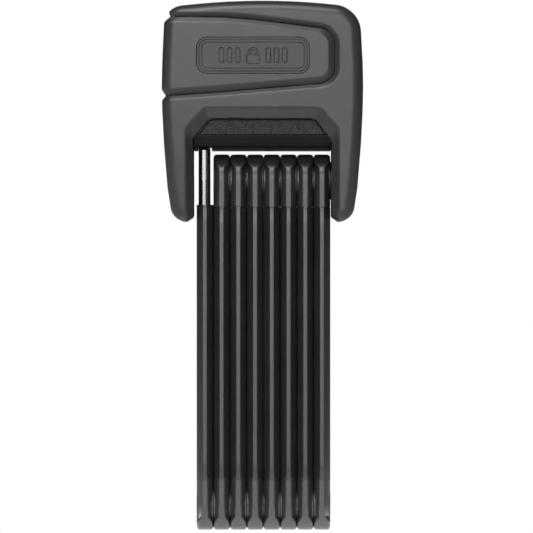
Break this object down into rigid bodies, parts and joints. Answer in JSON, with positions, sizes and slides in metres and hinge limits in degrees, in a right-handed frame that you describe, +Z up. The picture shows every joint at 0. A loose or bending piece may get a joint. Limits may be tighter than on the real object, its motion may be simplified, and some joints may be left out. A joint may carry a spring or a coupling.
{
  "type": "folding bike lock",
  "caption": "Folding bicycle lock: flat steel links riveted end to end fold flat into a stack under a keyed alarm lock head with a side band.",
  "frame": {"origin": "under the middle of the lock head, at the level of the folded links' lower ends", "axes": "+Z up from the folded links to the crown of the lock head, +X across the stack of links along the hinge axes (tongue on the -X side, head hinge on the +X side), -Y is the front face with the badge"},
  "size_m": [0.0846, 0.044, 0.223],
  "materials": {
    "shell_plastic": "fine satin texture",
    "band_plastic": "fine satin texture",
    "badge_plastic": "fine satin, thin engraved frames",
    "seal_rubber": "matt",
    "cover_plastic": "coarse hammered grain in front, smooth below",
    "cap_plastic": "smooth satin",
    "sleeve_soft": "satin with fine lengthwise lines",
    "dark_plastic": "satin",
    "flap_plastic": "satin",
    "frame_steel": "ground",
    "link_steel": "ground",
    "tongue_steel": "polished plate",
    "rivet_steel": "turned",
    "screw_steel": "blackened zinc",
    "brass": "machined",
    "plug_brass": "nickel plated, satin",
    "board_green": "lacquered",
    "battery_can": "satin can",
    "contact_metal": "nickel plated strip"
  },
  "bodies": {
    "head": {"front_shell": "shell_plastic", "back_shell": "shell_plastic", "shell_seal": "seal_rubber", "side_band": "band_plastic", "badge": "badge_plastic", "steel_frame": "frame_steel", "lock_core": "frame_steel", "core_cover": "cover_plastic", "core_screws": "screw_steel", "cylinder_housing": "brass", "cylinder_clip": "screw_steel", "circuit_board": "board_green", "board_parts": "dark_plastic", "siren": "dark_plastic", "siren_grille": "dark_plastic", "battery": "battery_can", "battery_contacts": "contact_metal", "battery_door": "dark_plastic", "door_screws": "screw_steel", "case_screws": "screw_steel", "head_bush": "brass", "head_rivet": "rivet_steel", "flap_pin": "screw_steel"},
    "key_works": {"key_plug": "plug_brass", "detainer_discs": "frame_steel", "cam": "frame_steel"},
    "bolt": {"bolt": "frame_steel"},
    "key_flap": {"key_flap": "flap_plastic"},
    "link_8": {"link_8_plate": "link_steel", "link_8_sleeve": "sleeve_soft", "link_8_caps": "cap_plastic", "rivet_7_8": "rivet_steel"},
    "link_7": {"link_7_plate": "link_steel", "link_7_sleeve": "sleeve_soft", "link_7_caps": "cap_plastic", "rivet_6_7": "rivet_steel"},
    "link_6": {"link_6_plate": "link_steel", "link_6_sleeve": "sleeve_soft", "link_6_caps": "cap_plastic", "rivet_5_6": "rivet_steel"},
    "link_5": {"link_5_plate": "link_steel", "link_5_sleeve": "sleeve_soft", "link_5_caps": "cap_plastic", "rivet_4_5": "rivet_steel"},
    "link_4": {"link_4_plate": "link_steel", "link_4_sleeve": "sleeve_soft", "link_4_caps": "cap_plastic", "rivet_3_4": "rivet_steel"},
    "link_3": {"link_3_plate": "link_steel", "link_3_sleeve": "sleeve_soft", "link_3_caps": "cap_plastic", "rivet_2_3": "rivet_steel"},
    "link_2": {"link_2_plate": "link_steel", "link_2_sleeve": "sleeve_soft", "link_2_caps": "cap_plastic", "rivet_1_2": "rivet_steel"},
    "link_1": {"link_1_plate": "tongue_steel", "link_1_sleeve": "sleeve_soft", "link_1_caps": "cap_plastic"}
  },
  "joints": [
    {"name": "hinge_head_8", "type": "hinge", "parent": "head", "child": "link_8", "pos_m": [0.0286, 0, 0.1476], "axis": [1, 0, 0], "range_deg": [-90, 90]},
    {"name": "hinge_8_7", "type": "hinge", "parent": "link_8", "child": "link_7", "pos_m": [0.02158, 0, 0.0111], "axis": [1, 0, 0], "range_deg": [-180, 180]},
    {"name": "hinge_7_6", "type": "hinge", "parent": "link_7", "child": "link_6", "pos_m": [0.01452, 0, 0.1476], "axis": [1, 0, 0], "range_deg": [-90, 90]},
    {"name": "hinge_6_5", "type": "hinge", "parent": "link_6", "child": "link_5", "pos_m": [0.00747, 0, 0.0111], "axis": [1, 0, 0], "range_deg": [-180, 180]},
    {"name": "hinge_5_4", "type": "hinge", "parent": "link_5", "child": "link_4", "pos_m": [0.00042, 0, 0.1476], "axis": [1, 0, 0], "range_deg": [-90, 90]},
    {"name": "hinge_4_3", "type": "hinge", "parent": "link_4", "child": "link_3", "pos_m": [-0.00662, 0, 0.0111], "axis": [1, 0, 0], "range_deg": [-180, 180]},
    {"name": "hinge_3_2", "type": "hinge", "parent": "link_3", "child": "link_2", "pos_m": [-0.01367, 0, 0.1476], "axis": [1, 0, 0], "range_deg": [-90, 90]},
    {"name": "hinge_2_1", "type": "hinge", "parent": "link_2", "child": "link_1", "pos_m": [-0.02073, 0, 0.0111], "axis": [1, 0, 0], "range_deg": [-180, 180]},
    {"name": "key_turn", "type": "hinge", "parent": "head", "child": "key_works", "pos_m": [-0.024, 0, 0.1996], "axis": [1, 0, 0], "range_deg": [0, 90]},
    {"name": "bolt_slide", "type": "slide", "parent": "head", "child": "bolt", "axis": [0, -1, 0], "range_m": [0, 0.00453]},
    {"name": "flap_hinge", "type": "hinge", "parent": "head", "child": "key_flap", "pos_m": [-0.04065, 0, 0.2082], "axis": [0, 1, 0], "range_deg": [0, 100]}
  ],
  "couplings": [
    {"joint": "key_turn", "follows": "bolt_slide", "rad_per_m": 347.13}
  ]
}
